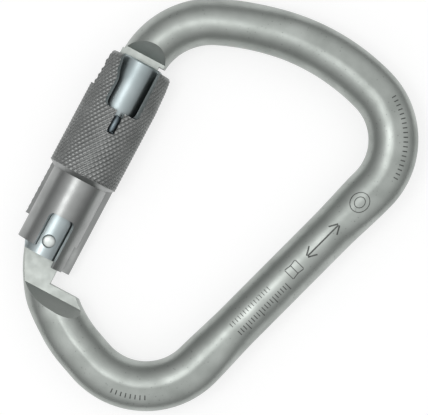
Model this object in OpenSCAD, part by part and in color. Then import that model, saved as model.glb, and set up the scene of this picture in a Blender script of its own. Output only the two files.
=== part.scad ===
// Locking carabiner: a bent steel rod, closed by a sprung gate with a turning lock sleeve.
// Millimetres. It lies flat: the gate's axis runs along +Y, the loop opens to +X, +Z is up.

/* [Frame rod] */
// Diameter of the bent rod where it is straight
rod_d = 12; // [10:0.1:12.6]
// How much the rod's radius grows in its tight bends
bend_swell = 0.4; // [0.3:0.05:0.6]
// Barrel's top face up to the start of the nose bend
nose_rise = 4.1; // [3.4:0.1:5]
// Radius of the bend over the nose
nose_bend_r = 20.2; // [16:0.1:26]
// Radius of the long arc across the top
top_arc_r = 75; // [60:1:90]
// Radius of the arc that turns the top down to the shoulder
crown_arc_r = 56; // [45:1:65]
// Radius of the tight bend at the top of the spine
shoulder_bend_r = 18.1; // [15:0.1:24]
// Radius of the tight bend at the foot of the spine
foot_bend_r = 18.85; // [15:0.1:24]
// Radius of the bend that brings the rod up to the hinge
heel_bend_r = 31.5; // [29:0.1:34]

/* [Nose and hinge tangs] */
// Thickness of both milled tangs
tang_t = 5; // [4.1:0.1:6]
// Thickness of the nose's T-shaped head
head_t = 6.8; // [6:0.1:7]
// Nose tang from the gate's axis to its outer edge
nose_out = 6.2; // [5.5:0.1:6.4]
// Nose tang from the gate's axis to its inner edge
nose_in = 4.3; // [3.5:0.1:4.6]
// Height of the T-shaped head along the gate
head_h = 4.6; // [3.8:0.1:5.6]
// Barrel's top face down to the top of the head
head_drop = 4.7; // [3.9:0.1:5.7]
// Barrel's top face up to the end of the nose's milled flat
flat_rise = 1.9; // [1.5:0.1:2.4]
// Hinge pin's offset from the gate's axis, toward the inside
pin_off = 0.6; // [0.3:0.1:0.9]
// Hinge tang from the gate's axis to its straight inner edge
hinge_in = 5.7; // [5:0.1:5.8]
// Hinge pin centre down to the milled shoulder
shoulder_drop = 9.7; // [9.5:0.1:11]
// Hinge pin centre down to the end of the milled flat
flat_drop = 11.9; // [11.2:0.1:13]
// Length of the sloped run-out at each milled flat
runout = 4; // [3:0.5:5]

/* [Gate] */
// Diameter of the gate's barrel
gate_d = 12; // [11.6:0.1:12]
// Hinge pin centre up to the barrel's top face
gate_top = 51.5; // [42.9:0.1:61.8]
// Hinge pin centre down to the barrel's foot
gate_foot = 4.1; // [3.8:0.1:5]
// Diameter of the hinge pin
pin_d = 3.5; // [2.9:0.1:4.2]
// How far the gate swings in
gate_swing = 36; // [30:1:38]
// Diameter of the spring bore
bore_d = 5.4; // [4.5:0.05:6.5]

/* [Lock sleeve] */
// Outside diameter of the knurled grip
grip_d = 18.6; // [18:0.1:20]
// Outside diameter of the smooth skirt, in front of the ridge along its back
skirt_d = 15; // [14.8:0.1:15.6]
// Angle of the skirt's back that keeps the grip's full radius
ridge_a = 140; // [120:2:150]
// Barrel's top face down to the sleeve's top edge
sleeve_drop = 0.5; // [0.3:0.1:1.5]
// Hinge pin centre up to the lower end of the grip
grip_end = 19; // [17:0.5:21]
// Hinge pin centre down to the long lobe's end
lobe_long = 5.7; // [5:0.1:6.2]
// Hinge pin centre down to the short lobe's end
lobe_short = 2.3; // [1.5:0.1:3.5]
// Inside diameter round the gate's upper half
grip_bore_d = 15; // [14.8:0.1:15.2]
// Inside diameter of the lobes
lobe_bore_d = 13; // [12.8:0.1:13.4]
// Angle between the sides of the top window
window_a = 66; // [60:1:70]
// Angle between the sides of the window over the hinge pin
foot_window_a = 57; // [52:1:60]
// Height of the top window
window_h = 13.4; // [12:0.1:16]
// Sleeve's turn at rest, toward the inside of the loop
rest_turn = 10; // [8:1:12]

/* [Springs and small parts] */
// Diameter of the stop pin
stop_d = 1.6; // [1.2:0.1:2]
// Wire diameter of the retaining ring
ring_wire = 1; // [0.8:0.1:1.2]
// Wire diameter of the sleeve's torsion spring
twist_wire = 1.1; // [0.9:0.1:1.2]
// Wire diameter of the gate spring
coil_wire = 0.8; // [0.6:0.1:1]

/* [Fits] */
// Radial gap of the hinge pin in the tang, and of the sleeve on the barrel
run_gap = 0.06; // [0.02:0.01:0.1]
// Gap at each side of a tang in its slot
slot_gap = 0.2; // [0.1:0.05:0.3]
// Radial gap of the plunger in its bore
plunger_gap = 0.1; // [0.05:0.05:0.15]
// Radial gap of the gate spring in its bore
coil_gap = 0.2; // [0.15:0.05:0.3]
// Gap round the nose and the hinge tang in the sleeve's ways out
way_gap = 0.3; // [0.2:0.05:0.4]
// Gap at the cam, the spring seats and the ends of sliding parts
end_gap = 0.08; // [0.05:0.01:0.15]

/* [Hidden] */
$fn = 60;
eps = 0.01;

rod_r = rod_d / 2;
let_in = 0.4;
gate_r = gate_d / 2;
grip_r = grip_d / 2;
skirt_r = skirt_d / 2;
grip_bore_r = grip_bore_d / 2;
lobe_bore_r = lobe_bore_d / 2;
body_bore_r = gate_r + run_gap;
pin_r = pin_d / 2;
plunger_r = bore_d / 2 - plunger_gap;
spring_r = bore_d / 2 - coil_gap;
sleeve_top = gate_top - sleeve_drop;
window_foot = sleeve_top - window_h;

// The rod's centreline, from the nose round to the hinge. Every bend turns clockwise.
h_nose = 78;          // heading at the nose, in degrees from +X
turn = [54.2, 12.1, 29.7, 88.9, 94.5, 51.2];
h1 = h_nose - turn[0];
h2 = h1 - turn[1];
h3 = h2 - turn[2];
h4 = h3 - turn[3];    // heading of the spine
h5 = h4 - turn[4];
h6 = h5 - turn[5];
function bend(r, a, b) = r * [sin(a) - sin(b), cos(b) - cos(a)];
nose_at = [0.5, gate_top + nose_rise];
heel_at = [pin_off + 0.85, -0.75];
fixed = bend(nose_bend_r, h_nose, h1) + bend(top_arc_r, h1, h2) + bend(crown_arc_r, h2, h3)
      + bend(shoulder_bend_r, h3, h4) + bend(foot_bend_r, h4, h5) + bend(heel_bend_r, h5, h6);
// The lengths of the straight spine and of the straight base close the loop onto the hinge.
gap_xy = heel_at - nose_at - fixed;
spine_v = [cos(h4), sin(h4)];
base_v = [cos(h5), sin(h5)];
det = spine_v[0] * base_v[1] - spine_v[1] * base_v[0];
spine_l = (gap_xy[0] * base_v[1] - gap_xy[1] * base_v[0]) / det;
base_l = (spine_v[0] * gap_xy[1] - spine_v[1] * gap_xy[0]) / det;

p1 = nose_at + bend(nose_bend_r, h_nose, h1);
p2 = p1 + bend(top_arc_r, h1, h2);
p3 = p2 + bend(crown_arc_r, h2, h3);
p4 = p3 + bend(shoulder_bend_r, h3, h4);
p5 = p4 + spine_l * spine_v;
p6 = p5 + bend(foot_bend_r, h4, h5);
p7 = p6 + base_l * base_v;

// Outermost points of the loop: each lies on the bend where the heading passes its direction.
function centre(p, r, h) = p + r * [sin(h), -cos(h)];
top_y = centre(p2, crown_arc_r, h2)[1] + crown_arc_r + rod_r + bend_swell / 2;
right_x = centre(p3, shoulder_bend_r, h3)[0] + shoulder_bend_r + rod_r + bend_swell;
low_y = centre(p5, foot_bend_r, h4)[1] - foot_bend_r - rod_r - bend_swell;
mid = [(right_x - grip_r) / 2, (top_y + low_y) / 2];

cam_off = 1.8;        // cam centre from the pin: the plunger's lift per radian
cam_r = 4.2;
cam_at = [pin_off + cam_off * cos(19), -cam_off * sin(19)];
cam_top = cam_at[1] + cam_r;
eye_r = cam_top;      // round the pin the eye stays lower than the cam, which alone lifts the plunger
lift = cam_off * gate_swing * PI / 180;
pin_xy = [pin_off, 0];

head_top_r = gate_top - head_drop;   // the T-shaped head lies between two arcs about the hinge pin
head_foot_r = head_top_r - head_h;
nose_flat_y = gate_top + flat_rise;
bore_top = head_foot_r - 2.6;
plunger_foot = cam_top + end_gap;
plunger_top = plunger_foot + 11;
spring_foot = plunger_top - 5;       // the plunger's stem reaches 5 mm into the spring
clevis_top = cam_top + lift + 0.8;
coil_foot = grip_end + 3;
coil_top = window_foot - 2.2;
stop_y = grip_end - 4;
ring_y = grip_end - 8.5;

// A rod bend from point p and heading h, turning clockwise by a, with lead-ins b and c at its
// ends, in mm. A thinner run's end is let into its thicker neighbour, so each joint is a clean step.
module rod_bend(p, r, h, a, w, b = 0, c = 0) {
  at = centre(p, r, h);
  q = 180 / (PI * r);
  translate([at[0], at[1], 0]) rotate_extrude(angle = a + (b + c) * q, start = h + 90 - a - c * q)
    translate([r, 0]) circle(r = w);
}

// A straight rod from point p along heading h.
module rod_line(p, h, l, w, b = 0, c = 0) {
  translate([p[0], p[1], 0]) rotate([0, 0, h]) translate([-b, 0, 0]) rotate([0, 90, 0])
    cylinder(r = w, h = l + b + c);
}

// The wedge milled off one face, above the flat and its sloped run-out. y0 is the flat's end.
module milled(y0, dir) {
  for (s = [0, 1]) mirror([0, 0, s])
    rotate([90, 0, 90]) translate([0, 0, -20]) linear_extrude(60)
      polygon([[y0 - dir * 40, tang_t / 2], [y0, tang_t / 2], [y0 + dir * runout, rod_r + 0.3],
               [y0 + dir * runout, rod_r + 9], [y0 - dir * 40, rod_r + 9]]);
}

// A sector of angle a centred on angle a0 from the front toward the inside, about the gate axis.
module sector(a0, a, y0, y1, r = 14) {
  translate([0, y1, 0]) rotate([90, 0, 0]) linear_extrude(y1 - y0)
    polygon([[0, 0], [r * sin(a0 - a / 2), r * cos(a0 - a / 2)] * 1.3,
             [r * sin(a0), r * cos(a0)] * 1.3,
             [r * sin(a0 + a / 2), r * cos(a0 + a / 2)] * 1.3]);
}

// A round bar about the gate's axis from y0 to y1.
module bar(r, y0, y1) {
  translate([0, y1, 0]) rotate([90, 0, 0]) cylinder(r = r, h = y1 - y0);
}

// An upright bar through the hinge pin's centre.
module pin_bar(r, h) {
  translate([pin_off, 0, 0]) cylinder(r = r, h = h, center = true);
}

// A ring sector about the hinge pin, t thick, between x0 and x1.
module arc_slab(r0, r1, t, x0, x1) {
  intersection() {
    difference() { pin_bar(r1, t); pin_bar(r0, t + 1); }
    translate([x0, 30, -t]) cube([x1 - x0, 40, 2 * t]);
  }
}

module frame_body() color("silver") difference() {
  union() {
    difference() {
      rod_bend(nose_at, nose_bend_r, h_nose, turn[0], rod_r, 4.2, let_in);
      milled(nose_flat_y, 1);
      translate([nose_in, nose_flat_y - 12, -10]) cube([10, 12 - 0.9, 20]);
    }
    rod_bend(p1, top_arc_r, h1, turn[1], rod_r + bend_swell / 4, 0, let_in);
    rod_bend(p2, crown_arc_r, h2, turn[2], rod_r + bend_swell / 2, 0, let_in);
    rod_bend(p3, shoulder_bend_r, h3, turn[3], rod_r + bend_swell);
    rod_line(p4, h4, spine_l, rod_r, let_in, let_in);
    rod_bend(p5, foot_bend_r, h4, turn[4], rod_r + bend_swell);
    difference() {
      union() {
        rod_line(p6, h5, base_l, rod_r + bend_swell / 2, let_in);
        rod_bend(p7, heel_bend_r, h5, turn[5], rod_r, let_in);
      }
      milled(-flat_drop, -1);
      translate([hinge_in, -shoulder_drop, -10]) cube([30, 30, 20]);
    }
    // nose tang and its T-shaped head
    difference() {
      translate([-nose_out, head_top_r - 2, -tang_t / 2])
        cube([nose_out + nose_in, nose_flat_y - head_top_r + 1.4, tang_t]);
      pin_bar(head_top_r - 1.2, 20);
    }
    arc_slab(head_foot_r, head_top_r, head_t, -nose_out, nose_in);
    // hinge eye and cam
    intersection() {
      union() {
        pin_bar(eye_r, tang_t);
        translate([cam_at[0], cam_at[1], -tang_t / 2]) cylinder(r = cam_r, h = tang_t);
      }
      translate([-20, -20, -10]) cube([20 + hinge_in, 40, 20]);
    }
  }
  pin_bar(pin_r + run_gap, 20);
}

module gate_barrel() color("lightgray") difference() {
  union() {
    bar(gate_r, -gate_foot, gate_top - 0.4);
    translate([0, gate_top - 0.4, 0]) rotate([-90, 0, 0]) cylinder(r1 = gate_r, r2 = gate_r - 0.4, h = 0.4);
  }
  // clevis slot for the hinge tang, and the corner that follows the frame's outer line
  translate([-10, -gate_foot - 1, -tang_t / 2 - slot_gap])
    cube([20, clevis_top + gate_foot + 1, tang_t + 2 * slot_gap]);
  translate([-gate_r - 1, -gate_foot - 1, -10]) linear_extrude(20)
    polygon([[0, 0], [3.4, 0], [2.6, 1.2], [1, 4.2], [0, 4.2]]);
  // T-shaped slot for the nose, open to the outside
  arc_slab(head_foot_r - 0.3, head_top_r + 0.3, head_t + 2 * slot_gap, -10, nose_in + slot_gap);
  translate([-10, head_top_r - 1.6, -tang_t / 2 - slot_gap])
    cube([10 + nose_in + slot_gap, 10, tang_t + 2 * slot_gap]);
  bar(bore_d / 2, clevis_top - 1, bore_top);
  pin_bar(pin_r, 20);
  // blind hole for the stop pin, groove for the retaining ring
  translate([0, stop_y, -gate_r - 1]) cylinder(d = stop_d, h = 3);
  translate([0, ring_y, 0]) rotate([-90, 0, 0]) rotate_extrude()
    translate([gate_r - 0.55, -ring_wire / 2 - 0.05]) square([2, ring_wire + 0.1]);
}

module hinge_rivet() color("white") pin_bar(pin_r, 2 * gate_r - 0.5);

module gate_spring() color("gray") difference() {
  bar(spring_r, spring_foot, bore_top - end_gap);
  bar(spring_r - coil_wire, spring_foot - 1, bore_top + 1);
}

module spring_plunger() color("dimgray") union() {
  bar(plunger_r, plunger_foot, spring_foot - end_gap);
  bar(spring_r - coil_wire - plunger_gap, spring_foot - end_gap - eps, plunger_top);
}

// Everything outside the barrel that turns with the sleeve, before its windows are cut.
module sleeve_blank() {
  translate([0, sleeve_top, 0]) rotate([90, 0, 0]) rotate_extrude() polygon([
    [grip_bore_r, 0], [grip_r - 1.2, 0], [grip_r - 0.7, 0.6], [grip_r - 0.35, 3.5],
    [grip_r, 9.5], [grip_r, sleeve_top - grip_end], [skirt_r, sleeve_top - grip_end + 1.4],
    [skirt_r, sleeve_top + lobe_long - 0.6], [skirt_r - 0.6, sleeve_top + lobe_long],
    [lobe_bore_r, sleeve_top + lobe_long], [lobe_bore_r, sleeve_top - 7.6],
    [body_bore_r, sleeve_top - 7.6], [body_bore_r, sleeve_top - grip_end - 1],
    [grip_bore_r, sleeve_top - grip_end - 1]]);
}

// The skirt's back, which keeps the grip's full radius down to the long lobe's end.
module back_ridge() intersection() {
  difference() {
    bar(grip_r - 0.05, -lobe_long, grip_end + 1);
    bar(skirt_r - 0.3, -lobe_long - 1, grip_end + 2);
  }
  sector(180, ridge_a, -lobe_long - 1, grip_end + 2);
}

module lock_sleeve() color("dimgray") difference() {
  union() {
    sleeve_blank();
    back_ridge();
  }
  // top window, its lead-in flare, and the narrow slot for the spring's leg
  sector(rest_turn, window_a, window_foot, sleeve_top + 5);
  translate([0, sleeve_top + 0.1, 0]) rotate([90, 0, 0]) linear_extrude(5.5)
    polygon([[0, 4], [-6.1, 5.2], [-7.6, 11], [0, 12]]);
  rotate([0, rest_turn, 0]) translate([-0.95, window_foot - 6.1, 6.6]) cube([1.9, 8, 6]);
  // window over the hinge pin, and the short lobe
  sector(rest_turn, foot_window_a, -20, 7);
  sector(-62, 92, -20, -lobe_short);
  sector(-144, 74, -20, 3.5);
  // ways out for the nose's T and for the hinge tang
  translate([-14, head_foot_r - 1.2, -head_t / 2 - way_gap])
    cube([14, head_h + 1.7, head_t + 2 * way_gap]);
  translate([-14, head_top_r - 0.8, -tang_t / 2 - way_gap])
    cube([14, head_drop + 5, tang_t + 2 * way_gap]);
  translate([0, -20, -tang_t / 2 - way_gap]) cube([14, 21.6, tang_t + 2 * way_gap]);
  // groove for the retaining ring, and the arc that the stop pin runs in
  translate([0, ring_y, 0]) rotate([-90, 0, 0]) rotate_extrude()
    translate([gate_r - 1, -ring_wire / 2 - 0.05]) square([1.65, ring_wire + 0.1]);
  translate([0, stop_y, 0]) rotate([-90, 0, 0])
    rotate_extrude(angle = 98, start = 1) translate([gate_r - 1, -stop_d / 2 - 0.1])
      square([1.95, stop_d + 0.2]);
}

module sleeve_spring() color("slategray") union() {
  difference() {
    bar(grip_bore_r - 0.1, coil_foot, coil_top);
    bar(grip_bore_r - 0.1 - twist_wire, coil_foot - 1, coil_top + 1);
  }
  rotate([0, rest_turn, 0]) translate([-0.85, window_foot - 5.2, 6.8]) cube([1.7, 3.3, 1.8]);
}

module stop_pin() color("gray")
  translate([0, stop_y, -gate_r - 0.8]) cylinder(d = stop_d, h = 2.8);

module retaining_ring() color("gray") translate([0, ring_y, 0]) rotate([-90, 0, 0])
  rotate_extrude() translate([gate_r - 0.02, 0]) circle(d = ring_wire, $fn = 32);

module placed() translate([-mid[0], -mid[1], grip_r]) children();

placed() frame_body();
placed() gate_barrel();
placed() hinge_rivet();
placed() gate_spring();
placed() spring_plunger();
placed() lock_sleeve();
placed() sleeve_spring();
placed() stop_pin();
placed() retaining_ring();
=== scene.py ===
"""Looks of a steel locking carabiner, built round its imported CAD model.

The CAD model gives every place: the gate's axis, the hinge pin's centre and the height of the
middle plane are read from its nodes. Sizes are in millimetres, and MM turns them into metres.
"""

import functools
import logging
import math
from dataclasses import dataclass
from enum import Enum
from typing import Callable, Iterable, Sequence

import bmesh
import bpy
import numpy as np
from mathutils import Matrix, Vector

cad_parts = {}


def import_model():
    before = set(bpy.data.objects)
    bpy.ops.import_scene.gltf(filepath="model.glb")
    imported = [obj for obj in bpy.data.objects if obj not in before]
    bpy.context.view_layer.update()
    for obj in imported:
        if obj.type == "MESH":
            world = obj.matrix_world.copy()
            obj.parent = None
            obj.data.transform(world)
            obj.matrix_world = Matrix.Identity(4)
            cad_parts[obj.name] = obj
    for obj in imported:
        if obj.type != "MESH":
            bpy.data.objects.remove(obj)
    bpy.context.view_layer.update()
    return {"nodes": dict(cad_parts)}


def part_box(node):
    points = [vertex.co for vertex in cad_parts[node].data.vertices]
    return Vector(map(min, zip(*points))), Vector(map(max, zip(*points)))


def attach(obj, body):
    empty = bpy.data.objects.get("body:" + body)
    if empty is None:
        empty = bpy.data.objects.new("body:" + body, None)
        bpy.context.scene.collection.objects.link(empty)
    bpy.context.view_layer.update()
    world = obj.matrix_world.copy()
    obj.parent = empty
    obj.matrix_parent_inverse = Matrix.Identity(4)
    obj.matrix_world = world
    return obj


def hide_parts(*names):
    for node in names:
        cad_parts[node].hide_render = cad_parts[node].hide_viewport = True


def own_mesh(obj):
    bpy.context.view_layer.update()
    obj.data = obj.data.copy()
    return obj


log = logging.getLogger("carabiner")

MM = 0.001
# how far a cutter reaches past what it cuts, in mm
PAST = 20.0
# outside every turned face, in mm
CLEAR_R = 14.0
Point2 = tuple[float, float]
Point3 = tuple[float, float, float]
Faces = list[tuple[int, ...]]
# points and faces of a closed solid
Shape = tuple[np.ndarray, Faces]


class Join(Enum):
    """How one solid changes another."""

    CUT = "DIFFERENCE"
    ADD = "UNION"


class Skin(Enum):
    """Which finish a face of the sleeve takes."""

    SMOOTH = 0
    KNURLED = 1


# ---- colour and nodes


def linear(hex_colour: str) -> tuple[float, float, float, float]:
    """Turns an sRGB hex colour into linear light.

    Args:
        hex_colour: six hex digits, such as "9aa09c".

    Returns:
        Red, green, blue and alpha, each from 0 to 1.
    """
    parts = [int(hex_colour[i : i + 2], 16) / 255 for i in (0, 2, 4)]
    r, g, b = (c / 12.92 if c <= 0.04045 else ((c + 0.055) / 1.055) ** 2.4 for c in parts)
    return (r, g, b, 1.0)


def add_node(
    tree: bpy.types.NodeTree, kind: str, links: dict | None = None, **settings: object
) -> bpy.types.Node:
    """Adds one node, sets it up and links its inputs.

    Args:
        tree: the node tree that gets the node.
        kind: the node's type name.
        links: input name or number, to the output socket that feeds it.
        **settings: node attributes; a name starting with "in_" is an input's value, with
            underscores for spaces.

    Returns:
        The new node.
    """
    node = tree.nodes.new(kind)
    for name, value in settings.items():
        if name.startswith("in_"):
            node.inputs[name[3:].replace("_", " ")].default_value = value
        else:
            setattr(node, name, value)
    for socket, source in (links or {}).items():
        tree.links.new(source, node.inputs[socket])
    return node


def per_metre(size_mm: float) -> float:
    """Texture scale at which one feature is size_mm long."""
    return 1.0 / (size_mm * MM)


@dataclass(frozen=True)
class SteelFinish:
    """A steel surface: its colour range, its gloss and its grain.

    Args:
        name: the material's name, after how the surface was made.
        dark: sRGB colour of its duller patches.
        light: sRGB colour of its cleaner patches.
        roughness: lowest and highest roughness.
        patch_mm: size of the patches that differ in colour and gloss.
        grain_mm: size of the grain left by tumbling, turning or plating.
        grain_depth_mm: depth of that grain.
        pit_mm: spacing of the pits, or 0 for none.
        lay: stretch of the grain along X, Y and Z, for turning or drawing lines.
    """

    name: str
    dark: str
    light: str
    roughness: tuple[float, float]
    patch_mm: float
    grain_mm: float
    grain_depth_mm: float
    pit_mm: float = 0.0
    lay: Point3 = (1.0, 1.0, 1.0)

    def build(self) -> bpy.types.Material:
        """Makes the node material.

        Returns:
            The material.
        """
        material = bpy.data.materials.new(self.name)
        material.use_nodes = True
        tree = material.node_tree
        tree.nodes.clear()
        place = add_node(tree, "ShaderNodeTexCoord").outputs["Object"]
        # soft patches, where the tumbling or the plating took unevenly
        patch = add_node(
            tree, "ShaderNodeTexNoise", {"Vector": place}, in_Scale=per_metre(self.patch_mm), in_Detail=3.0
        ).outputs["Fac"]
        colour = add_node(tree, "ShaderNodeValToRGB", {"Fac": patch})
        colour.color_ramp.elements[0].position = 0.3
        colour.color_ramp.elements[0].color = linear(self.dark)
        colour.color_ramp.elements[1].position = 0.7
        colour.color_ramp.elements[1].color = linear(self.light)
        tint = colour.outputs["Color"]
        gloss = add_node(
            tree, "ShaderNodeMapRange", {"Value": patch}, in_From_Min=0.3, in_From_Max=0.7,
            in_To_Min=self.roughness[1], in_To_Max=self.roughness[0],
        ).outputs["Result"]
        # fine grain, drawn out along the lay
        drawn = add_node(tree, "ShaderNodeMapping", {"Vector": place}, in_Scale=self.lay).outputs["Vector"]
        grain = add_node(
            tree, "ShaderNodeTexNoise", {"Vector": drawn}, in_Scale=per_metre(self.grain_mm), in_Detail=4.0
        ).outputs["Fac"]
        height = grain
        if self.pit_mm:
            spots = add_node(
                tree, "ShaderNodeTexVoronoi", {"Vector": place}, in_Scale=per_metre(self.pit_mm)
            ).outputs["Distance"]
            # a pit is about a fifth as wide as the spacing, and a coarser noise leaves most of them out
            pit = add_node(
                tree, "ShaderNodeMapRange", {"Value": spots}, in_From_Min=0.05, in_From_Max=0.22,
                in_To_Min=0.0, in_To_Max=1.0,
            ).outputs["Result"]
            sparse = add_node(
                tree, "ShaderNodeTexNoise", {"Vector": place}, in_Scale=per_metre(self.pit_mm * 3.1)
            ).outputs["Fac"]
            kept = add_node(
                tree, "ShaderNodeMapRange", {"Value": sparse}, in_From_Min=0.42, in_From_Max=0.52
            ).outputs["Result"]
            shallow = add_node(tree, "ShaderNodeMath", {0: pit, 1: kept}, operation="MAXIMUM").outputs[0]
            # painted shade: the bottoms of the pits take a darker colour, on top of the bump that sinks them
            tint = self._pit_shade(tree, shallow, tint)
            height = add_node(tree, "ShaderNodeMath", {0: grain, 1: shallow}, operation="MULTIPLY").outputs[0]
        bump = add_node(
            tree, "ShaderNodeBump", {"Height": height}, in_Strength=1.0, in_Distance=self.grain_depth_mm * MM
        ).outputs["Normal"]
        shader = add_node(
            tree, "ShaderNodeBsdfPrincipled", {"Base Color": tint, "Roughness": gloss, "Normal": bump},
            in_Metallic=1.0,
        )
        add_node(tree, "ShaderNodeOutputMaterial", {"Surface": shader.outputs[0]})
        return material

    def _pit_shade(
        self, tree: bpy.types.NodeTree, unpitted: bpy.types.NodeSocket, tint: bpy.types.NodeSocket
    ) -> bpy.types.NodeSocket:
        """Paints shade into the bottoms of the pits: a darker colour where the bump sinks them.

        Args:
            tree: the material's node tree.
            unpitted: 0 in a pit and 1 outside it.
            tint: the colour outside the pits.

        Returns:
            The colour with its pits.
        """
        mixer = add_node(tree, "ShaderNodeMix", data_type="RGBA")
        # the colour of the painted shade in the pit bottoms
        mixer.inputs[6].default_value = linear("8a8e8b")
        tree.links.new(unpitted, mixer.inputs[0])
        tree.links.new(tint, mixer.inputs[7])
        return mixer.outputs[2]


# ---- places and meshes


@dataclass(frozen=True)
class Datum:
    """Where the gate's axis, the hinge pin and the middle plane are in the row frame, in metres."""

    axis_x: float
    # Tumbled and zinc-plated steel: satin, faintly green, with small pits left from the bar, their bottoms
    # painted with shade.
    pin_y: float
    mid_z: float

    @classmethod
    def from_frame(cls) -> "Datum":
        """Reads the three places from the CAD nodes."""
        low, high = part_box("gate_barrel")
        pin_low, pin_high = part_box("hinge_rivet")
        return cls((low.x + high.x) / 2, (pin_low.y + pin_high.y) / 2, (low.z + high.z) / 2)

    def place(self, points: np.ndarray) -> np.ndarray:
        """Turns design points in mm, from the gate's axis at the pin's height, into row metres."""
        return np.asarray(points, float) * MM + np.array([self.axis_x, self.pin_y, self.mid_z])


def make_object(name: str, points: np.ndarray, faces: Iterable[Sequence[int]]) -> bpy.types.Object:
    """Makes a mesh object in the scene.

    Args:
        name: the object's name.
        points: vertex places in metres.
        faces: vertex numbers of each face.

    Returns:
        The object.
    """
    mesh = bpy.data.meshes.new(name)
    mesh.from_pydata([tuple(p) for p in points], [], [tuple(f) for f in faces])
    mesh.update()
    obj = bpy.data.objects.new(name, mesh)
    bpy.context.scene.collection.objects.link(obj)
    return obj


def tube(rings: np.ndarray) -> Faces:
    """Faces of a closed bar through rings of points, with flat ends.

    Args:
        rings: array of ring number, point number and coordinate.

    Returns:
        Vertex numbers of each face.
    """
    count, size = rings.shape[:2]
    faces = [
        (i * size + j, i * size + (j + 1) % size, (i + 1) * size + (j + 1) % size, (i + 1) * size + j)
        for i in range(count - 1)
        for j in range(size)
    ]
    return faces + [tuple(range(size - 1, -1, -1)), tuple(range((count - 1) * size, count * size))]


def lathe(profile: Sequence[Point2], steps: int = 96) -> Shape:
    """A solid turned about the gate's axis.

    Args:
        profile: radius and height of each ring, from the foot up, in mm.
        steps: points round each ring.

    Returns:
        Points in mm, and faces.
    """
    angle = np.linspace(0, 2 * math.pi, steps, endpoint=False)
    rings = np.array([[(r * math.sin(a), y, r * math.cos(a)) for a in angle] for r, y in profile])
    return rings.reshape(-1, 3), tube(rings)


def radial_block(outline: Sequence[Point2], inner: float, outer: float) -> Shape:
    """A block with radial sides, for cutting a window in a sleeve.

    Args:
        outline: azimuth in degrees from the front toward the loop, and height in mm.
        inner: its inner radius.
        outer: its outer radius.

    Returns:
        Points in mm, and faces.
    """
    rings = np.array([
        [(r * math.sin(math.radians(a)), y, r * math.cos(math.radians(a))) for a, y in outline]
        for r in (inner, outer)
    ])
    return rings.reshape(-1, 3), tube(rings)


def box_block(low: Point3, high: Point3) -> Shape:
    """A plain block.

    Args:
        low: its lowest corner, in mm.
        high: its highest corner, in mm.

    Returns:
        Points in mm, and faces.
    """
    ring = [(low[0], low[1]), (high[0], low[1]), (high[0], high[1]), (low[0], high[1])]
    rings = np.array([[(x, y, z) for x, y in ring] for z in (low[2], high[2])])
    return rings.reshape(-1, 3), tube(rings)


def slab(
    outline: Sequence[Point2], low: float, high: float, turn: Callable[[float, float, float], Point3]
) -> Shape:
    """A flat plate from an outline.

    Args:
        outline: corners in its own plane, in mm.
        low: where it starts, square to that plane.
        high: where it ends.
        turn: turns plane and height coordinates into design coordinates.

    Returns:
        Points in mm, and faces.
    """
    rings = np.array([[turn(u, v, h) for u, v in outline] for h in (low, high)])
    return rings.reshape(-1, 3), tube(rings)


def rounded(corners: Sequence[Point3], scale_x: float = 1.0, steps: int = 6) -> list[Point2]:
    """Rounds the corners of an outline.

    Args:
        corners: x, y and corner radius of each corner.
        scale_x: how many x units one mm is, where x is an angle.
        steps: points on each round.

    Returns:
        The rounded outline.
    """
    out: list[Point2] = []
    size = len(corners)
    flat = [np.array([c[0] / scale_x, c[1]]) for c in corners]
    for i, (_, _, radius) in enumerate(corners):
        here, before, after = flat[i], flat[i - 1], flat[(i + 1) % size]
        if radius <= 0:
            out.append((here[0] * scale_x, here[1]))
            continue
        a = (before - here) / np.linalg.norm(before - here)
        b = (after - here) / np.linalg.norm(after - here)
        half = math.acos(float(np.clip(a @ b, -1, 1))) / 2
        reach = radius / math.tan(half)
        start, end = here + a * reach, here + b * reach
        for k in range(steps + 1):
            t = k / steps
            spot = (1 - t) ** 2 * start + 2 * t * (1 - t) * here + t * t * end
            out.append((float(spot[0]) * scale_x, float(spot[1])))
    return out


def recalculated(obj: bpy.types.Object) -> bpy.types.Object:
    """Turns every face of a closed mesh outward.

    Args:
        obj: the mesh object.

    Returns:
        The same object.
    """
    shape = bmesh.new()
    shape.from_mesh(obj.data)
    bmesh.ops.recalc_face_normals(shape, faces=shape.faces)
    shape.to_mesh(obj.data)
    shape.free()
    return obj


def join(target: bpy.types.Object, tool: bpy.types.Object, how: Join) -> None:
    """Cuts or adds one closed solid, and drops the tool.

    Args:
        target: the solid that changes.
        tool: the solid that cuts it or is added to it.
        how: cut or add.
    """
    modifier = target.modifiers.new("join", "BOOLEAN")
    modifier.operation = how.value
    modifier.solver = "MANIFOLD"
    modifier.object = tool
    bpy.context.view_layer.update()
    graph = bpy.context.evaluated_depsgraph_get()
    made = bpy.data.meshes.new_from_object(target.evaluated_get(graph))
    target.modifiers.clear()
    old = target.data
    target.data = made
    made.name = target.name
    bpy.data.meshes.remove(old)
    tool_mesh = tool.data
    bpy.data.objects.remove(tool)
    bpy.data.meshes.remove(tool_mesh)


def shade(obj: bpy.types.Object, crease: float) -> None:
    """Smooth shading that breaks at sharp edges.

    Args:
        obj: the mesh object.
        crease: the angle in degrees past which an edge is sharp.
    """
    mesh = obj.data
    mesh.shade_smooth()
    mesh.set_sharp_from_angle(angle=math.radians(crease))


def dress(obj: bpy.types.Object, *materials: bpy.types.Material) -> None:
    """Gives an object its materials.

    Args:
        obj: the mesh object.
        *materials: what its slots hold, in order.
    """
    obj.data.materials.clear()
    for material in materials:
        obj.data.materials.append(material)


def smooth_step(x: np.ndarray | float, low: float, high: float) -> np.ndarray:
    """A soft slope between two levels.

    Args:
        x: where to read it.
        low: below this it is 0.
        high: above this it is 1.

    Returns:
        Values from 0 to 1.
    """
    t = np.clip((np.asarray(x, float) - low) / (high - low), 0, 1)
    return t * t * (3 - 2 * t)


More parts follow.
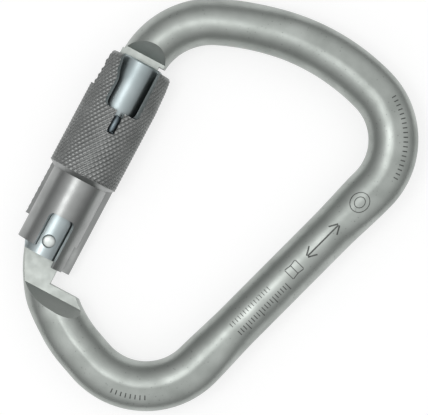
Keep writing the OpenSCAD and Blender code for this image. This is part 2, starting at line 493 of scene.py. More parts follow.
@dataclass(eq=False)
class Part:
    """What every sub-assembly shares: where things are, and how its solids are made."""

    datum: Datum

    def solid(self, name: str, shape: Shape) -> bpy.types.Object:
        """Makes a closed solid from points in mm and faces."""
        return recalculated(make_object(name, self.datum.place(shape[0]), shape[1]))


# ---- the bent frame


@dataclass(eq=False)
class BentFrame(Part):
    """The rod frame: a swept bar, pressed flatter in its bends, with two milled tangs.

    The arcs are those of the CAD frame, each starting where the last one ends.
    """

    steel: SteelFinish
    cut_steel: SteelFinish
    mark_steel: SteelFinish
    rod_r: float = 6.0
    swell: float = 0.4
    start: Point2 = (0.5, 55.6)
    heading: float = 78.0
    lead_in: float = 4.2
    # radius and angle of each bend; the two straight runs have radius 0 and a length
    runs: tuple[tuple[float, float], ...] = (
        (20.2, 54.2), (75.0, 12.1), (56.0, 29.7), (18.1, 88.9), (0.0, 63.6027),
        (18.85, 94.5), (0.0, 4.43765), (31.5, 51.2),
    )
    tang_t: float = 5.0
    head_t: float = 6.8
    nose_out: float = 6.2
    nose_in: float = 4.3
    head_top: float = 46.8
    head_foot: float = 42.2
    nose_flat: float = 53.4
    heel_flat: float = -11.9
    shoulder: float = -9.7
    hinge_in: float = 5.7
    runout: float = 4.0
    pin_off: float = 0.6
    pin_hole: float = 1.81
    cam_at: Point2 = (2.302, -0.586)
    cam_r: float = 4.2
    eye_r: float = 3.614
    heel_out: float = 0.9
    # where the heel starts to widen and is at its widest, in mm before the bar's end
    heel_span: Point2 = (21.0, 11.0)
    # where the pressing starts, is full, fades and ends, in mm past the ends of the runs beside it
    top_press: tuple[float, float, float, float] = (3.0, -2.0, 1.0, 16.0)
    foot_press: tuple[float, float, float, float] = (-15.0, 1.0, 4.0, 21.0)
    # a pressed section: how much lower its crest is, how much squarer, and the slope of its flat
    crest_drop: float = 0.045
    squarer: float = 1.9
    slope: float = 0.18
    station: float = 0.9
    around: int = 96

    @staticmethod
    def swung(radius: float, head: float, turned: float) -> np.ndarray:
        """How far a bend moves on while its heading goes from head to turned."""
        return radius * np.array([math.sin(head) - math.sin(turned), math.cos(turned) - math.cos(head)])

    @functools.cache
    def line(self) -> tuple[np.ndarray, np.ndarray, np.ndarray]:
        """The rod's centreline.

        Returns:
            Points in mm, headings in radians, and the length run at each point.
        """
        at = np.array(self.start, float)
        head = math.radians(self.heading)
        radius = self.runs[0][0]
        back = self.lead_in / radius
        points, heads, lengths = [], [], []
        for t in np.linspace(-back, 0, 6)[:-1]:
            a = head - t
            points.append(at + self.swung(radius, head, a))
            heads.append(a)
            lengths.append(t * radius)
        done = 0.0
        for radius, amount in self.runs:
            if radius:
                total = math.radians(amount)
                steps = max(2, int(total * radius / self.station))
                for t in np.linspace(0, total, steps, endpoint=False):
                    a = head - t
                    points.append(at + self.swung(radius, head, a))
                    heads.append(a)
                    lengths.append(done + t * radius)
                a = head - total
                at = at + self.swung(radius, head, a)
                head = a
                done += total * radius
            else:
                steps = max(2, int(amount / self.station))
                along = np.array([math.cos(head), math.sin(head)])
                for t in np.linspace(0, amount, steps, endpoint=False):
                    points.append(at + along * t)
                    heads.append(head)
                    lengths.append(done + t)
                at = at + along * amount
                done += amount
        points.append(at)
        heads.append(head)
        lengths.append(done)
        return np.array(points), np.array(heads), np.array(lengths)

    def run_ends(self) -> list[float]:
        """The length run at the end of each bend and straight."""
        ends, done = [], 0.0
        for radius, amount in self.runs:
            done += math.radians(amount) * radius if radius else amount
            ends.append(done)
        return ends

    def pressed(self, length: np.ndarray) -> np.ndarray:
        """How far the section is pressed.

        Args:
            length: places along the centreline, in mm.

        Returns:
            0 on a round run, up to 1 in a tight bend.
        """
        ends = self.run_ends()
        rise, full, fall, gone = self.top_press
        top = smooth_step(length, ends[0] + rise, ends[2] + full)
        top = top * (1 - smooth_step(length, ends[3] + fall, ends[3] + gone))
        rise, full, fall, gone = self.foot_press
        foot = smooth_step(length, ends[4] + rise, ends[4] + full)
        foot = foot * (1 - smooth_step(length, ends[6] + fall, ends[6] + gone))
        return np.maximum(top, foot)

    def height(self, u: np.ndarray | float, press: float) -> np.ndarray:
        """Height of the rod's front face above its middle plane.

        Args:
            u: distance from the centreline toward the outside of the loop, in mm.
            press: 0 for the round section and 1 for the pressed one.

        Returns:
            The height in mm.
        """
        u = np.asarray(u, float)
        wide = self.rod_r + self.swell * press
        share = np.clip(np.abs(u) / wide, 0, 1)
        crest = self.rod_r * (1 - self.crest_drop * press)
        round_side = crest * np.sqrt(1 - share**2)
        # the pressed outer half: a flat that slopes 10 degrees outward, then a tight round edge
        squareness = 2 + self.squarer * press
        flat = crest * (1 - share**squareness) ** (1 / squareness) - self.slope * press * np.clip(u, 0, None)
        return np.where(u > 0, np.clip(flat, 0, None), round_side)

    def section(self, press: float, heel: float = 0.0) -> np.ndarray:
        """One cross-section: a circle, or with its outer half pressed flat, front and back.

        Args:
            press: 0 for the circle and 1 for the pressed section.
            heel: how far it widens outward at the hinge tang, from 0 to 1.

        Returns:
            Distance toward the outside of the loop, and height, of each point in mm.
        """
        angle = np.linspace(0, 2 * math.pi, self.around, endpoint=False)
        wide = self.rod_r + self.swell * press
        u = wide * np.cos(angle)
        z = np.sign(np.round(np.sin(angle), 9)) * self.height(u, press)
        return np.column_stack([np.where(u > 0, u * (1 + self.heel_out / self.rod_r * heel), u), z])

    def at(self, length: float, across: float, lift: float) -> Point3:
        """A point on the rod's front face.

        Args:
            length: how far along the centreline, in mm.
            across: how far toward the outside of the loop, in mm.
            lift: how far above the surface, in mm.

        Returns:
            The point in mm.
        """
        points, heads, lengths = self.line()
        x, y = (float(np.interp(length, lengths, points[:, i])) for i in (0, 1))
        head = float(np.interp(length, lengths, heads))
        rise = float(self.height(across, float(self.pressed(np.array(length))))) + lift
        return (x - across * math.sin(head), y + across * math.cos(head), rise)

    def rod(self) -> bpy.types.Object:
        """Sweeps the bar along the centreline."""
        points, heads, lengths = self.line()
        press = self.pressed(lengths)
        rings = []
        heel = smooth_step(lengths, lengths[-1] - self.heel_span[0], lengths[-1] - self.heel_span[1])
        for point, head, amount, wider in zip(points, heads, press, heel):
            out = np.array([-math.sin(head), math.cos(head)])
            flat = self.section(float(amount), float(wider))
            rings.append(np.column_stack([point + flat[:, :1] * out, flat[:, 1]]))
        grid = np.array(rings)
        return self.solid("frame_rod", (grid.reshape(-1, 3), tube(grid)))

    def milled(self, flat_y: float, way: float) -> list[bpy.types.Object]:
        """The two wedges milled off above and below a tang.

        Args:
            flat_y: where the flat ends, in mm.
            way: 1 where the rod goes up from the flat, and -1 where it goes down.

        Returns:
            The two cutters.
        """
        half = self.tang_t / 2
        out = []
        for side in (1, -1):
            outline = [
                (flat_y - way * 30, half), (flat_y, half), (flat_y + way * self.runout, self.rod_r + 0.3),
                (flat_y + way * self.runout, 14), (flat_y - way * 30, 14),
            ]
            plate = slab(outline, -20, 28, lambda y, z, x, s=side: (x, y, s * z))
            out.append(self.solid("cutter", plate))
        return out

    def arc_band(self, low: float, high: float, thick: float, x0: float, x1: float, steps: int = 10) -> Shape:
        """A block between two arcs about the hinge pin, as the T-shaped head is.

        Args:
            low: inner radius in mm.
            high: outer radius in mm.
            thick: its thickness in mm.
            x0: its outer side in mm.
            x1: its side toward the loop, in mm.
            steps: points along each arc.

        Returns:
            Points in mm, and faces.
        """
        def edge(radius: float, xs: np.ndarray) -> list[Point2]:
            """One arc's points."""
            return [(float(x), math.sqrt(radius**2 - (x - self.pin_off) ** 2)) for x in xs]

        xs = np.linspace(x0, x1, steps)
        outline = edge(low, xs) + edge(high, xs[::-1])
        return slab(outline, -thick / 2, thick / 2, lambda x, y, z: (x, y, z))

    def disc(self, at: Point2, radius: float, thick: float, steps: int = 64) -> Shape:
        """A flat round plate in the middle plane.

        Args:
            at: its centre in mm.
            radius: its radius in mm.
            thick: its thickness in mm.
            steps: points round it.

        Returns:
            Points in mm, and faces.
        """
        angle = np.linspace(0, 2 * math.pi, steps, endpoint=False)
        outline = [(at[0] + radius * math.cos(a), at[1] + radius * math.sin(a)) for a in angle]
        return slab(outline, -thick / 2, thick / 2, lambda x, y, z: (x, y, z))

    def build(self) -> None:
        """Makes the frame in the CAD frame's place, and its marks."""
        rod = self.rod()
        for tool in (*self.milled(self.nose_flat, 1), *self.milled(self.heel_flat, -1)):
            join(rod, tool, Join.CUT)
        notch = box_block(
            (self.nose_in, self.nose_flat - 14, -10), (self.nose_in + 10, self.nose_flat - 0.9, 10)
        )
        step = box_block((self.hinge_in, self.shoulder, -10), (self.hinge_in + 16, self.shoulder + 30, 10))
        for shape in (notch, step):
            join(rod, self.solid("cutter", shape), Join.CUT)
        tang = box_block(
            (-self.nose_out, self.head_top - 1.2, -self.tang_t / 2),
            (self.nose_in, self.nose_flat - 0.6, self.tang_t / 2),
        )
        head = self.arc_band(self.head_foot, self.head_top, self.head_t, -self.nose_out, self.nose_in)
        eye = self.disc((self.pin_off, 0), self.eye_r, self.tang_t - 0.02)
        cam = self.disc(self.cam_at, self.cam_r, self.tang_t - 0.04)
        lobe = self.solid("cam", cam)
        join(lobe, self.solid("cutter", box_block((self.hinge_in, -20, -10), (30, 20, 10))), Join.CUT)
        for tool in (self.solid("tang", tang), self.solid("head", head), self.solid("eye", eye), lobe):
            join(rod, tool, Join.ADD)
        join(rod, self.solid("cutter", self.disc((self.pin_off, 0), self.pin_hole, 20)), Join.CUT)
        dress(rod, self.steel.build(), self.cut_steel.build())
        self.paint(rod)
        shade(rod, 24)
        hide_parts("frame_body")
        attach(rod, "frame")
        log.info("frame_rod: %d faces", len(rod.data.polygons))
        marks = self.marks()
        log.info("frame_marks: %d faces", len(marks.data.polygons))

    def paint(self, rod: bpy.types.Object) -> None:
        """Gives the milled flats and their run-outs the cut finish.

        Args:
            rod: the frame's mesh object.
        """
        origin = np.array([self.datum.axis_x, self.datum.pin_y, self.datum.mid_z])
        for face in rod.data.polygons:
            x, y, z = (np.array(face.center) - origin) / MM
            flat = abs(face.normal.z) > 0.99 and abs(abs(z) - self.tang_t / 2) < 0.3
            runs = (
                (self.nose_flat, self.nose_flat + self.runout), (self.heel_flat - self.runout, self.heel_flat)
            )
            sloped = abs(face.normal.x) < 0.03 and 0.6 < abs(face.normal.z) < 0.85
            near = x < 26 and any(low - 0.1 < y < high + 0.1 for low, high in runs)
            face.material_index = int(flat or (sloped and near))

    def stroke(self, path: Sequence[Point2], width: float) -> Shape:
        """One laser-marked line that follows the rod's surface.

        Args:
            path: length and distance across of each point, in mm.
            width: the line's width in mm.

        Returns:
            Points in mm, and faces, of a thin closed skin let into the surface.
        """
        spots = [np.array(path[0], float)]
        for start, end in zip(path[:-1], path[1:]):
            a, b = np.array(start, float), np.array(end, float)
            steps = max(1, int(np.linalg.norm(b - a) / 0.6))
            spots += [a + (b - a) * (i + 1) / steps for i in range(steps)]
        line = np.array(spots)
        ahead = np.gradient(line, axis=0)
        ahead /= np.linalg.norm(ahead, axis=1)[:, None]
        side = np.column_stack([-ahead[:, 1], ahead[:, 0]]) * width / 2
        low, high = -0.06, 0.02
        rings = np.array([
            [self.at(*(p - d), low), self.at(*(p + d), low), self.at(*(p + d), high), self.at(*(p - d), high)]
            for p, d in zip(line, side)
        ])
        return rings.reshape(-1, 3), tube(rings)

    def marks(self) -> bpy.types.Object:
        """Plain marks without letters: a ring, a load-axis arrow, an open book and rows of ticks."""
        spine, foot = self.run_ends()[3], self.run_ends()[4]
        turn = np.linspace(0, 2 * math.pi, 33)
        lines: list[tuple[list[Point2], float]] = [
            ([(spine + 5 + 2.7 * math.cos(a), 2.4 * math.sin(a) - 0.2) for a in turn], 0.22),
            ([(spine + 5 + 1.5 * math.cos(a), 1.3 * math.sin(a) - 0.2) for a in turn], 0.22),
        ]
        arrow = spine + 13
        lines += [
            ([(arrow, 0), (arrow + 11, 0)], 0.4),
            ([(arrow + 2, 1.5), (arrow - 0.2, 0.25)], 0.4), ([(arrow + 2, -1.5), (arrow - 0.2, -0.25)], 0.4),
            ([(arrow + 9, 1.5), (arrow + 11.2, 0.25)], 0.4),
            ([(arrow + 9, -1.5), (arrow + 11.2, -0.25)], 0.4),
        ]
        book = spine + 27
        for s in (0.0, 1.9, 3.8):
            lines.append(([(book + s, -1.5), (book + s, 1.5)], 0.22))
        for u in (-1.6, 1.6):
            lines.append(([(book + 0.1, u), (book + 1.8, u * 0.85)], 0.22))
            lines.append(([(book + 2.0, u * 0.85), (book + 3.7, u)], 0.22))
        # rows of ticks: first, step, count, inner end, outer end, outer end of each fifth, line width
        for first, step, count, inner, outer, fifth, width in (
            (spine + 33, 0.95, 19, 0.9, 2.3, 3.0, 0.26), (spine + 37, 0.95, 15, -1.9, -0.7, -0.7, 0.2),
            (spine - 24, 1.05, 19, 2.2, 3.4, 3.4, 0.26), (foot + 15, 1.1, 8, 2.0, 3.2, 3.2, 0.26),
        ):
            for i in range(count):
                spot = first + step * i
                lines.append(([(spot, inner), (spot, outer if i % 5 else fifth)], width))
        points, faces = [], []
        for path, width in lines:
            shape, sides = self.stroke(path, width)
            base = sum(len(p) for p in points)
            points.append(shape)
            faces += [tuple(i + base for i in side) for side in sides]
        marks = self.solid("frame_marks", (np.concatenate(points), faces))
        dress(marks, self.mark_steel.build())
        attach(marks, "frame")
        return marks


# ---- the lock sleeve


@dataclass
class LockSleeve(Part):
    """The turning sleeve: a knurled grip, a smooth skirt and the windows cut through both."""

    smooth: SteelFinish
    knurled: SteelFinish
    wire: SteelFinish
    grip_r: float = 9.3
    skirt_r: float = 7.5
    ridge_a: float = 140.0
    top: float = 51.0
    grip_end: float = 19.0
    lobe_long: float = 5.7
    lobe_short: float = 2.3
    grip_bore_r: float = 7.5
    lobe_bore_r: float = 6.5
    body_bore_r: float = 6.06
    body_bore: Point2 = (7.6, 20.0)
    window_a: float = 66.0
    foot_window_a: float = 57.0
    window_foot: float = 37.6
    turn: float = 10.0
    head_t: float = 6.8
    tang_t: float = 5.0
    way_gap: float = 0.3
    diamonds: int = 44
    diamond_h: float = 1.7
    knurl_depth: float = 0.34
    ridge_wear: float = 0.35
    wire_d: float = 1.1
    coil: Point2 = (22.0, 35.4)
    coil_turns: float = 8.25

    def grip_profile(self, y: np.ndarray) -> np.ndarray:
        """The grip's outer radius, which narrows toward its top edge.

        Args:
            y: heights in mm.

        Returns:
            The radius at each, in mm.
        """
        down = self.top - y
        return np.interp(down, [0, 0.6, 3.5, 9.5, 60], [
            self.grip_r - 1.2, self.grip_r - 0.7, self.grip_r - 0.35, self.grip_r, self.grip_r])

    def blank(self) -> bpy.types.Object:
        """The knurled bar that the sleeve is turned and milled from."""
        columns = self.diamonds * 8
        rows = int(round((self.top + self.lobe_long) / self.diamond_h * 8))
        ys = np.linspace(-self.lobe_long, self.top, rows + 1)
        angle = np.linspace(0, 2 * math.pi, columns, endpoint=False)
        across = angle[None, :] * self.diamonds / (2 * math.pi)
        along = (ys[:, None] - ys[0]) / self.diamond_h
        # two sets of crossing grooves leave a field of low pyramids; one set is rolled deeper
        shallow = np.abs(((across + along) % 1) - 0.5) * 2
        deep = np.abs(((across - along) % 1) - 0.5) * 2
        ridge = np.minimum(np.clip(deep * 1.35, 0, 1), 0.42 + 0.58 * np.clip(shallow * 1.6, 0, 1))
        fade = smooth_step(self.top - ys, 0.2, 1.2)[:, None] * np.ones_like(across)
        # the ridge's inner half is turned smooth
        inner = (ys[:, None] < self.grip_end) & (angle[None, :] < math.pi * 1.05)
        fade[inner] = 0
        # the ridge beside the skirt is worn nearly smooth
        worn = np.where(ys < self.grip_end, self.ridge_wear, 1.0)
        depth = self.knurl_depth * (1 - ridge) * fade * worn[:, None]
        radius = self.grip_profile(ys)[:, None] - depth
        heights = np.repeat(ys[:, None], columns, 1)
        grid = np.stack([radius * np.sin(angle), heights, radius * np.cos(angle)], 2)
        return self.solid("lock_sleeve_turned", (grid.reshape(-1, 3), tube(grid)))

    def skirt_tool(self) -> Shape:
        """What is turned off the front of the skirt, all but the ridge along its back."""
        profile = [
            (self.skirt_r, -PAST), (self.skirt_r, self.grip_end - 1.4),
            (self.grip_r + 0.3, self.grip_end + 0.1), (CLEAR_R, self.grip_end + 0.1), (CLEAR_R, -PAST),
        ]
        edge = 180 - self.ridge_a / 2
        rings = np.array([
            [(r * math.sin(a), y, r * math.cos(a)) for r, y in profile]
            for a in np.radians(np.linspace(-edge, edge, 89))
        ])
        return rings.reshape(-1, 3), tube(rings)

    def bore_tool(self) -> Shape:
        """The stepped bore."""
        low, high = self.body_bore
        return lathe([
            (self.lobe_bore_r, -PAST), (self.lobe_bore_r, low), (self.body_bore_r, low + 0.02),
            (self.body_bore_r, high), (self.grip_bore_r, high + 0.02), (self.grip_bore_r, self.top + 5),
        ])

    def windows(self) -> list[tuple[np.ndarray, list]]:
        """Every opening that is cut right through the wall."""
        half, foot_half = self.window_a / 2, self.foot_window_a / 2
        degrees_per_mm = math.degrees(1 / self.grip_r)
        left, right = self.turn - half, self.turn + half
        top = self.top + 5
        upper = rounded([
            (right, self.window_foot, 1.6), (right, top, 0), (left - 15, top, 0),
            (left - 13, self.top - 1.2, 0), (left - 7, self.top - 4.2, 2.5), (left, self.top - 6.2, 2.0),
            (left, self.window_foot, 1.9),
        ], degrees_per_mm)
        slot = rounded([
            (self.turn + 6.6, self.window_foot - 6.1, 0.5), (self.turn + 6.6, self.window_foot + 2, 0),
            (self.turn - 6.6, self.window_foot + 2, 0), (self.turn - 6.6, self.window_foot - 6.1, 0.5),
        ], degrees_per_mm)
        pin = rounded([
            (self.turn + foot_half, -PAST, 0), (self.turn + foot_half, 7, 1.6),
            (self.turn - foot_half, 7, 1.6), (self.turn - foot_half, -PAST, 0),
        ], degrees_per_mm)
        foot = -self.lobe_short
        # between the two lobes, and the low back beside the long one
        lobe = [(-16, -PAST), (-16, foot), (-62, foot), (-108, foot), (-108, -PAST), (-62, -PAST)]
        back = [(-107, -PAST), (-107, 3.5), (-144, 3.5), (-181, 3.5), (-181, -PAST), (-144, -PAST)]
        blocks = [radial_block(o, 5.2, CLEAR_R) for o in (upper, slot, pin, lobe, back)]
        # the ways out: for the nose's head, for its tang, and for the hinge tang
        head, tang = self.head_t / 2 + self.way_gap, self.tang_t / 2 + self.way_gap
        blocks.append(box_block((-CLEAR_R, 41.0, -head), (0, 47.3, head)))
        blocks.append(box_block((-CLEAR_R, 46.0, -tang), (0, 56.0, tang)))
        blocks.append(box_block((0, -PAST, -tang), (CLEAR_R, 1.6, tang)))
        return blocks

    def build(self) -> None:
        """Makes the sleeve and its torsion spring."""
        sleeve = self.blank()
        for shape in (self.skirt_tool(), self.bore_tool(), *self.windows()):
            join(sleeve, self.solid("cutter", shape), Join.CUT)
        self.paint(sleeve)
        shade(sleeve, 32)
        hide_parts("lock_sleeve")
        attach(sleeve, "sleeve")
        log.info("lock_sleeve_turned: %d faces", len(sleeve.data.polygons))
        spring = self.spring()
        log.info("sleeve_coil: %d faces", len(spring.data.polygons))

    def paint(self, sleeve: bpy.types.Object) -> None:
        """Gives the knurled faces their own finish.

        Args:
            sleeve: the sleeve's mesh object.
        """
        dress(sleeve, self.smooth.build(), self.knurled.build())
        mesh = sleeve.data
        count = len(mesh.polygons)
        centres = np.zeros(count * 3)
        normals = np.zeros(count * 3)
        mesh.polygons.foreach_get("center", centres)
        mesh.polygons.foreach_get("normal", normals)
        centres = centres.reshape(-1, 3) / MM
        normals = normals.reshape(-1, 3)
        off = centres - np.array([self.datum.axis_x, self.datum.pin_y, self.datum.mid_z]) / MM
        radius = np.hypot(off[:, 0], off[:, 2])
        outward = (normals[:, 0] * off[:, 0] + normals[:, 2] * off[:, 2]) / np.maximum(radius, 1e-6)
        limit = self.grip_profile(off[:, 1]) - self.knurl_depth - 0.05
        plain = (off[:, 1] < self.grip_end) & (off[:, 0] > -1.4)
        knurled = (radius > limit) & (outward > 0.35) & ~plain
        skin = np.where(knurled, Skin.KNURLED.value, Skin.SMOOTH.value)
        mesh.polygons.foreach_set("material_index", skin.astype(np.int32))
        mesh.update()

    def spring(self) -> bpy.types.Object:
        """The torsion spring: a coil in the grip, and the leg that shows in the narrow slot."""
        radius = self.grip_bore_r - 0.15 - self.wire_d / 2
        turns = np.linspace(0, 1, int(self.coil_turns * 28))
        angle = math.radians(self.turn) - (1 - turns) * self.coil_turns * 2 * math.pi
        low, high = self.coil[0] + self.wire_d / 2, self.coil[1] - self.wire_d / 2
        path = [
            (radius * math.sin(a), low + (high - low) * t, radius * math.cos(a)) for t, a in zip(turns, angle)
        ]
        coil = self.solid("sleeve_coil", sweep_wire(np.array(path), self.wire_d / 2, 10))
        tilt = math.radians(self.turn)
        leg = np.array([
            (r * math.sin(tilt), y, r * math.cos(tilt))
            for y, r in ((32.4, 7.1), (32.5, 7.75), (32.9, 7.9), (35.2, 7.9), (35.6, 7.75), (35.7, 7.1))
        ])
        join(coil, self.solid("leg", sweep_wire(leg, 0.82, 14)), Join.ADD)
        shade(coil, 40)
        dress(coil, self.wire.build())
        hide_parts("sleeve_spring")
        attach(coil, "sleeve")
        return coil


def sweep_wire(path: np.ndarray, radius: float, around: int) -> Shape:
    """A round wire along a path.

    Args:
        path: points in mm.
        radius: the wire's radius in mm.
        around: points round the wire.

    Returns:
        Points in mm, and faces.
    """
    ahead = np.gradient(path, axis=0)
    ahead /= np.linalg.norm(ahead, axis=1)[:, None]
    away = path.copy()
    away[:, 1] = 0
    side = np.cross(ahead, away)
    side /= np.linalg.norm(side, axis=1)[:, None]
    up = np.cross(side, ahead)
    angle = np.linspace(0, 2 * math.pi, around, endpoint=False)
    rings = (
        path[:, None, :]
        + radius * np.cos(angle)[None, :, None] * side[:, None, :]
        + radius * np.sin(angle)[None, :, None] * up[:, None, :]
    )
    return rings.reshape(-1, 3), tube(rings)


# ---- the gate


@dataclass
class Gate(Part):
    """The swinging gate: its barrel, rivet, spring, plunger, stop pin and retaining ring."""

    nodes: dict[str, bpy.types.Object]
    barrel: SteelFinish
    rivet: SteelFinish
    wire: SteelFinish
    turned: SteelFinish
    pin_off: float = 0.6
    pin_r: float = 1.75
    pin_half: float = 5.75
    spring_r: float = 2.5
    spring_wire: float = 0.8
    spring_span: Point2 = (9.774, 39.5)
    spring_turns: float = 17.0
    lift_keep: float = 0.96

    def build(self) -> None:
        """Dresses the CAD pieces that stay, and makes the rivet and the coil."""
        steel = self.wire.build()
        for name, material in (
            ("gate_barrel", self.barrel.build()), ("spring_plunger", self.turned.build()),
            ("stop_pin", steel), ("retaining_ring", steel),
        ):
            dress(self.nodes[name], material)
            log.info("%s: CAD piece, %s", name, material.name)
        self.make_rivet()
        self.make_spring(steel)

    def make_rivet(self) -> None:
        """The hinge rivet, its ends peened to low domes."""
        profile = [(0.05, 0.02), (0.7, 0.0), (1.25, -0.04), (1.55, -0.13), (self.pin_r, -0.3)]
        rings = [(r, -self.pin_half - y) for r, y in profile]
        rings += [(r, self.pin_half + y) for r, y in reversed(profile)]
        angle = np.linspace(0, 2 * math.pi, 64, endpoint=False)
        grid = np.array([
            [(self.pin_off + r * math.cos(a), r * math.sin(a), z) for a in angle] for r, z in rings
        ])
        rivet = self.solid("hinge_rivet_peened", (grid.reshape(-1, 3), tube(grid)))
        shade(rivet, 35)
        dress(rivet, self.rivet.build())
        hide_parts("hinge_rivet")
        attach(rivet, "gate")
        log.info("hinge_rivet_peened: %d faces", len(rivet.data.polygons))

    def make_spring(self, steel: bpy.types.Material) -> None:
        """The compression spring over the plunger's stem, made at one fixed length.

        Args:
            steel: the wire's material.
        """
        radius = self.spring_r - self.spring_wire / 2
        low, high = self.spring_span[0] + self.spring_wire / 2, self.spring_span[1] - self.spring_wire / 2
        turns = np.linspace(0, 1, int(self.spring_turns * 20))
        # the end turns lie close together
        rise = np.interp(turns, [0, 0.08, 0.92, 1], [0, 0.03, 0.97, 1])
        angle = turns * self.spring_turns * 2 * math.pi
        path = np.column_stack([radius * np.sin(angle), low + (high - low) * rise, radius * np.cos(angle)])
        spring = self.solid("gate_coil", sweep_wire(path, self.spring_wire / 2, 8))
        shade(spring, 40)
        dress(spring, steel)
        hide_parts("gate_spring")
        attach(spring, "gate")
        anchor = self.datum.place(np.array([0, self.spring_span[1], 0]))
        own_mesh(spring)
        log.info("gate_coil: %d faces", len(spring.data.polygons))


# ---- the studio


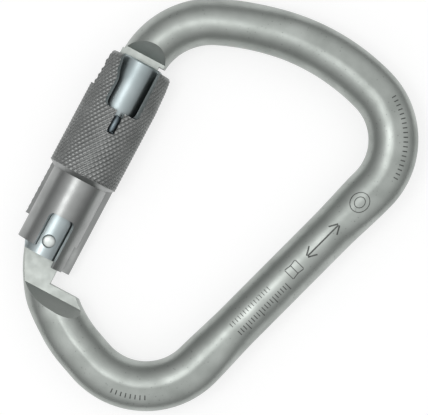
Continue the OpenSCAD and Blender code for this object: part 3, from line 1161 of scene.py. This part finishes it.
@dataclass
class Studio:
    """Pale floor, soft light and the camera straight above."""

    aim_mm: Point3 = (1.0, 1.3, 9.3)
    roll: float = 28.0
    field_mm: float = 110.0
    lens: float = 200.0
    sensor: float = 36.0
    floor_half_m: float = 1.5
    floor_gap_mm: float = 0.2
    floor_glow: float = 0.68
    # brightness by height, from 0 below and at the horizon to 1 straight above
    sky: tuple[Point2, ...] = (
        (0.0, 0.15), (0.2, 0.20), (0.42, 0.30), (0.62, 0.48), (0.8, 0.68), (0.93, 0.82),
        (0.985, 0.95), (1.0, 0.95),
    )
    sky_strength: float = 1.25

    def camera(self) -> None:
        """A long lens straight above, turned so that the gate leans to the right."""
        data = bpy.data.cameras.new("camera")
        data.lens, data.sensor_width = self.lens, self.sensor
        data.clip_start, data.clip_end = 0.01, 20
        camera = bpy.data.objects.new("camera", data)
        bpy.context.scene.collection.objects.link(camera)
        height = self.field_mm / self.sensor * self.lens
        camera.location = Vector((self.aim_mm[0], self.aim_mm[1], self.aim_mm[2] + height)) * MM
        camera.rotation_euler = (0, 0, math.radians(self.roll))
        bpy.context.scene.camera = camera
        bpy.context.scene.view_settings.view_transform = "Standard"

    def floor(self) -> None:
        """A white table just under the sleeve, with a glow of its own that keeps it pale."""
        half = self.floor_half_m
        points = np.array([(-half, -half, 0), (half, -half, 0), (half, half, 0), (-half, half, 0)], float)
        points[:, 2] = -self.floor_gap_mm * MM
        floor = make_object("table_top", points, [(0, 1, 2, 3)])
        material = bpy.data.materials.new("white_laminate")
        material.use_nodes = True
        tree = material.node_tree
        tree.nodes.clear()
        place = add_node(tree, "ShaderNodeTexCoord").outputs["Object"]
        speckle = add_node(
            tree, "ShaderNodeTexNoise", {"Vector": place}, in_Scale=per_metre(4.0)
        ).outputs["Fac"]
        gloss = add_node(
            tree, "ShaderNodeMapRange", {"Value": speckle}, in_To_Min=0.8, in_To_Max=0.9
        ).outputs["Result"]
        shader = add_node(
            tree, "ShaderNodeBsdfPrincipled", {"Roughness": gloss}, in_Base_Color=linear("a8a8a8"),
            in_Emission_Color=linear("ffffff"), in_Emission_Strength=self.floor_glow,
        )
        add_node(tree, "ShaderNodeOutputMaterial", {"Surface": shader.outputs[0]})
        dress(floor, material)

    def lights(self) -> None:
        """A tent: bright overhead, darker toward the horizon, with one soft box at the left."""
        world = bpy.data.worlds.new("tent")
        bpy.context.scene.world = world
        world.use_nodes = True
        tree = world.node_tree
        tree.nodes.clear()
        way = add_node(tree, "ShaderNodeTexCoord").outputs["Generated"]
        height = add_node(tree, "ShaderNodeSeparateXYZ", {"Vector": way}).outputs["Z"]
        ramp = add_node(tree, "ShaderNodeValToRGB", {"Fac": height})
        stops = self.sky
        ramp.color_ramp.elements[0].position, ramp.color_ramp.elements[1].position = stops[0][0], stops[-1][0]
        for position, _ in stops[1:-1]:
            ramp.color_ramp.elements.new(position)
        for element, (_, level) in zip(ramp.color_ramp.elements, stops):
            element.color = (level, level, level, 1)
        back = add_node(
            tree, "ShaderNodeBackground", {"Color": ramp.outputs["Color"]}, in_Strength=self.sky_strength
        )
        add_node(tree, "ShaderNodeOutputWorld", {"Surface": back.outputs[0]})
        self.soft_box("key", (-0.115, -0.04, 0.5), 0.14, 0.35)

    def soft_box(self, name: str, at: Point3, size: float, power: float) -> None:
        """One square area light that faces the object.

        Args:
            name: its name.
            at: its place in metres.
            size: its side in metres.
            power: its power in watts.
        """
        data = bpy.data.lights.new(name, "AREA")
        data.size, data.energy = size, power
        light = bpy.data.objects.new(name, data)
        bpy.context.scene.collection.objects.link(light)
        light.location = at
        light.rotation_euler = (Vector((0, 0, 0)) - Vector(at)).to_track_quat("-Z", "Y").to_euler()

    def build(self) -> None:
        """Sets the whole stage."""
        self.camera()
        self.floor()
        self.lights()
        log.info("studio: camera, table top, tent and soft box")


# Tumbled and zinc-plated steel: satin, faintly green, with small pits left from the bar.
TUMBLED = SteelFinish(
    "tumbled_zinc_plated_steel", "9ea39f", "b0b5b1", (0.37, 0.46), 7.0, 0.35, 0.018, pit_mm=1.1
)
# Milled steel, plated over: the cutter leaves it flatter in gloss than the bar.
MILLED = SteelFinish("milled_plated_steel", "b0b5b1", "b8bdb9", (0.48, 0.56), 3.0, 0.3, 0.01)
# Laser-marked steel: the beam leaves a dark oxide.
MARKED = SteelFinish("laser_marked_steel", "5b5d5b", "6a6c6a", (0.55, 0.65), 1.0, 0.2, 0.004)
# Ground and bright-plated steel: glossy, drawn along its length.
BRIGHT = SteelFinish(
    "bright_plated_steel", "9da8aa", "b0babc", (0.33, 0.41), 9.0, 0.25, 0.001, lay=(1, 0.15, 1)
)
# Peened rivet end: bright, with the hammer's fine dents.
PEENED = SteelFinish("peened_bright_steel", "b2b7b5", "c2c7c5", (0.36, 0.46), 2.0, 0.5, 0.01)
# Turned steel skirt: satin, with faint rings round it.
TURNED = SteelFinish(
    "turned_satin_steel", "939594", "a1a3a2", (0.30, 0.38), 6.0, 0.3, 0.004, lay=(0.3, 3, 0.3)
)
# Knurled steel: the rolled diamonds leave it dull and darker.
KNURLED = SteelFinish("knurled_matte_steel", "868887", "959796", (0.38, 0.48), 5.0, 0.2, 0.005)
# Oil-tempered spring wire: blue-grey scale.
WIRE = SteelFinish("oil_tempered_spring_wire", "7c8990", "8d999f", (0.42, 0.5), 3.0, 0.2, 0.004)


def main() -> None:
    logging.basicConfig(level=logging.INFO, format="%(name)s: %(message)s")
    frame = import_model()
    datum = Datum.from_frame()
    Studio().build()
    BentFrame(datum, TUMBLED, MILLED, MARKED).build()
    Gate(datum, frame["nodes"], BRIGHT, PEENED, WIRE, TURNED).build()
    LockSleeve(datum, TURNED, KNURLED, WIRE).build()


if __name__ == "__main__":
    main()
